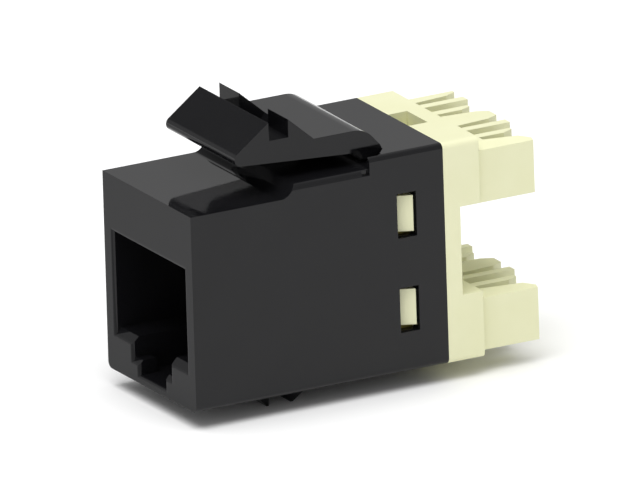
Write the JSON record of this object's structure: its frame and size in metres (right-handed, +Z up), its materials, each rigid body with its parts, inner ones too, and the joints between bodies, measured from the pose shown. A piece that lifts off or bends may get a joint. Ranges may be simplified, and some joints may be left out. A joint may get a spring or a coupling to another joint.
{
  "type": "keystone jack",
  "caption": "Snap-in keystone jack with a plug socket in front, a sprung panel latch on top and punch-down wire slots behind.",
  "frame": {"origin": "centre of the plug opening, on the front face", "axes": "+X across the jack, +Y from the front face back towards the punch-down block, +Z up towards the panel latch"},
  "size_m": [0.0144, 0.031, 0.0236],
  "materials": {
    "black_plastic": "satin black moulding",
    "carrier_plastic": "matte black moulding",
    "gold_wire": "gold-plated spring wire",
    "board_laminate": "green circuit board laminate",
    "tinned_metal": "tin-plated sheet metal",
    "cream_plastic": "pale cream moulding"
  },
  "bodies": {
    "jack_body": {"front_housing": "black_plastic", "contact_carrier": "carrier_plastic", "contact_wire_1": "gold_wire", "contact_wire_2": "gold_wire", "contact_wire_3": "gold_wire", "contact_wire_4": "gold_wire", "contact_wire_5": "gold_wire", "contact_wire_6": "gold_wire", "contact_wire_7": "gold_wire", "contact_wire_8": "gold_wire", "circuit_board": "board_laminate", "idc_contact_1": "tinned_metal", "idc_contact_2": "tinned_metal", "idc_contact_3": "tinned_metal", "idc_contact_4": "tinned_metal", "idc_contact_5": "tinned_metal", "idc_contact_6": "tinned_metal", "idc_contact_7": "tinned_metal", "idc_contact_8": "tinned_metal", "termination_block": "cream_plastic"},
    "latch": {"panel_latch": "black_plastic"}
  },
  "joints": [
    {"name": "latch_pivot", "type": "hinge", "parent": "jack_body", "child": "latch", "pos_m": [0, 0.01695, 0.00925], "axis": [1, 0, 0], "range_deg": [0, 10], "stiffness_Nm_per_rad": 0.3}
  ]
}
